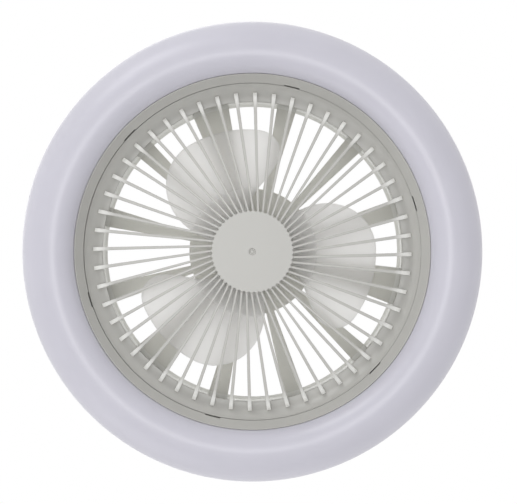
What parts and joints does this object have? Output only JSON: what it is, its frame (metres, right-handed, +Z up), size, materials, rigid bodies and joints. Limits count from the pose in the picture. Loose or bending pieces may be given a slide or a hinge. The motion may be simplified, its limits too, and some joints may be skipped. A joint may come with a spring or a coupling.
{
  "type": "socket fan light",
  "caption": "Round ceiling light that screws into a lamp socket: a milky light ring round a small fan behind a swirled twist-off grille, with a tapered neck and screw cap.",
  "frame": {"origin": "on the axis, at the shoulder where the screw cap meets the neck", "axes": "+Z up the axis into the lamp socket; the grille and the light face -Z; +Y points to one of the three wide arms of the rear cage"},
  "size_m": [0.26, 0.26, 0.1313],
  "materials": {
    "milky_ring": "milky translucent, soft sheen",
    "silver_grey_plastic": "fine satin",
    "cage_plastic": "fine satin",
    "milky_blade": "milky translucent, satin",
    "white_plastic": "satin",
    "zinc_steel": "zinc plated",
    "white_board": "white solder mask on aluminium",
    "phosphor": "yellow phosphor under clear resin",
    "rotor_steel": "pressed, zinc plated",
    "ferrite": "dark, matt",
    "brass": "turned",
    "shaft_steel": "ground",
    "clip_nylon": "natural nylon",
    "core_steel": "stacked laminations",
    "insulator_plastic": "moulded",
    "copper": "enamelled copper wire",
    "green_board": "green solder mask",
    "capacitor_can": "dark sleeve",
    "tape_yellow": "polyester tape",
    "connector_white": "moulded",
    "plated_shell": "nickel plated, bright",
    "black_insulator": "black",
    "wire_sleeve": "flexible sleeve"
  },
  "bodies": {
    "lamp": {"diffuser": "milky_ring", "inner_frame": "silver_grey_plastic", "rear_cage": "cage_plastic", "light_pan": "white_plastic", "driver_housing": "white_plastic", "frame_screws": "zinc_steel", "led_board": "white_board", "led_chips": "phosphor", "led_board_screws": "zinc_steel", "led_wires": "wire_sleeve", "lamp_cap_shell": "plated_shell", "lamp_cap_insulator": "black_insulator", "lamp_cap_contact": "brass", "mains_wires": "wire_sleeve", "driver_board": "green_board", "driver_board_screws": "zinc_steel", "driver_capacitors": "capacitor_can", "transformer_core": "ferrite", "transformer_winding": "tape_yellow", "line_inductor": "ferrite", "led_connector": "connector_white", "bearing_tube": "brass", "front_bearing": "shaft_steel", "rear_bearing": "shaft_steel", "stator_core": "core_steel", "stator_insulators": "insulator_plastic", "stator_windings": "copper", "motor_board": "green_board", "motor_wires": "wire_sleeve"},
    "rotor": {"impeller": "milky_blade", "rotor_can": "rotor_steel", "rotor_magnet": "ferrite", "rotor_bush": "brass", "rotor_shaft": "shaft_steel", "shaft_clip": "clip_nylon"},
    "grille": {"front_grille": "silver_grey_plastic"}
  },
  "joints": [
    {"name": "fan_spin", "type": "hinge", "parent": "lamp", "child": "rotor", "pos_m": [0, 0, -0.07], "axis": [0, 0, 1], "continuous": true},
    {"name": "grille_twist", "type": "hinge", "parent": "lamp", "child": "grille", "pos_m": [0, 0, -0.085], "axis": [0, 0, -1], "range_deg": [0, 7]}
  ]
}
